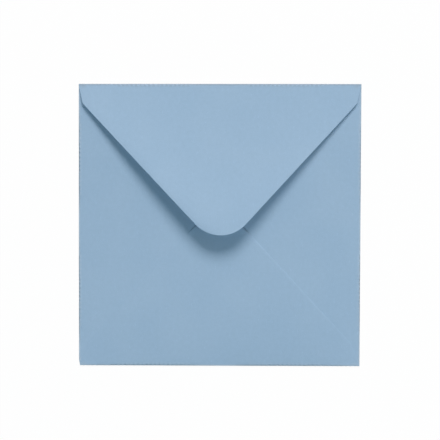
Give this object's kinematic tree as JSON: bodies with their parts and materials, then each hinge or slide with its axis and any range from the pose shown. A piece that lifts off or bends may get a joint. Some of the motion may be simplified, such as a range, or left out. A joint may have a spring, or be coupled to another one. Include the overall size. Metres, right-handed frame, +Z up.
{
  "type": "paper envelope",
  "caption": "Empty square envelope folded from a sheet of pale blue paper, its rounded top flap folded over, unstuck and sprung slightly open.",
  "frame": {"origin": "centre of the underside, on the surface that the envelope lies on", "axes": "+Z up through the layers of the envelope as it lies with its address side down, +Y towards the top fold that carries the open flap, +X to the right when the flap side is read with its fold at the top"},
  "size_m": [0.155, 0.155, 0.0116],
  "materials": {
    "paper": "matt, uncoated, pale blue all through"
  },
  "bodies": {
    "root": {"envelope": "paper"}
  },
  "joints": []
}
